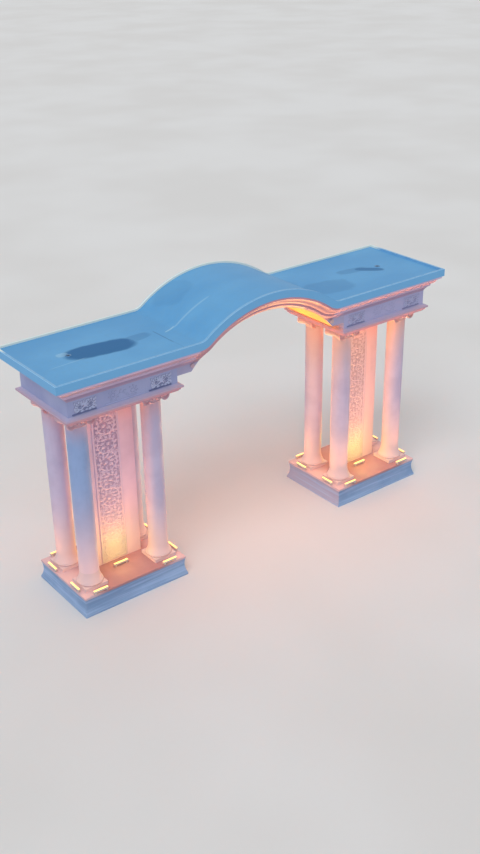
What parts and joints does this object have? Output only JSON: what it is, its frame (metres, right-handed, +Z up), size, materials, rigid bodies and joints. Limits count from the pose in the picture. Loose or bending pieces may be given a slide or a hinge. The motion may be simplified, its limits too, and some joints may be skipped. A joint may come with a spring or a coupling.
{
  "type": "ceremonial entrance arch",
  "caption": "Ceremonial entrance arch: piers of round columns around a carved panel, joined by a shallow vault under one long flat roof with a raised middle.",
  "frame": {"origin": "on the ground, midway between the two piers and midway front to rear", "axes": "+X along the gate from the left pier to the right pier, +Y from front to rear through the passage, +Z up"},
  "size_m": [12.39, 2.99, 7.3507],
  "materials": {
    "plaster": "smooth painted render, matt, faintly stained",
    "painted_stone": "painted concrete, matt, dusty",
    "carved_plaster": "cast relief, painted, matt",
    "roof_sheet": "grey-blue roofing sheet with water stains",
    "rim_metal": "pale painted flashing, dull",
    "lamp_housing": "grey powder coat",
    "lamp_face": "lit diffuser, warm yellow"
  },
  "bodies": {
    "root": {"left_plinth": "painted_stone", "left_deck": "painted_stone", "left_column_bases": "plaster", "left_front_outer_column": "plaster", "left_front_inner_column": "plaster", "left_rear_outer_column": "plaster", "left_rear_inner_column": "plaster", "left_capitals": "plaster", "left_panel_wall": "plaster", "left_carved_strips": "carved_plaster", "left_bed_moulding": "plaster", "left_frieze": "plaster", "left_frieze_plaques": "carved_plaster", "left_crown_moulding": "plaster", "left_roof": "roof_sheet", "left_roof_rim": "rim_metal", "left_light_bars": "lamp_housing", "right_plinth": "painted_stone", "right_deck": "painted_stone", "right_column_bases": "plaster", "right_front_outer_column": "plaster", "right_front_inner_column": "plaster", "right_rear_outer_column": "plaster", "right_rear_inner_column": "plaster", "right_capitals": "plaster", "right_panel_wall": "plaster", "right_carved_strips": "carved_plaster", "right_bed_moulding": "plaster", "right_frieze": "plaster", "right_frieze_plaques": "carved_plaster", "right_crown_moulding": "plaster", "right_roof": "roof_sheet", "right_roof_rim": "rim_metal", "right_light_bars": "lamp_housing", "arch_vault": "plaster", "arch_front_moulding": "plaster", "arch_rear_moulding": "plaster", "arch_roof": "roof_sheet", "arch_roof_rims": "rim_metal", "arch_bosses": "carved_plaster", "roof_outlets": "rim_metal"}
  },
  "joints": []
}
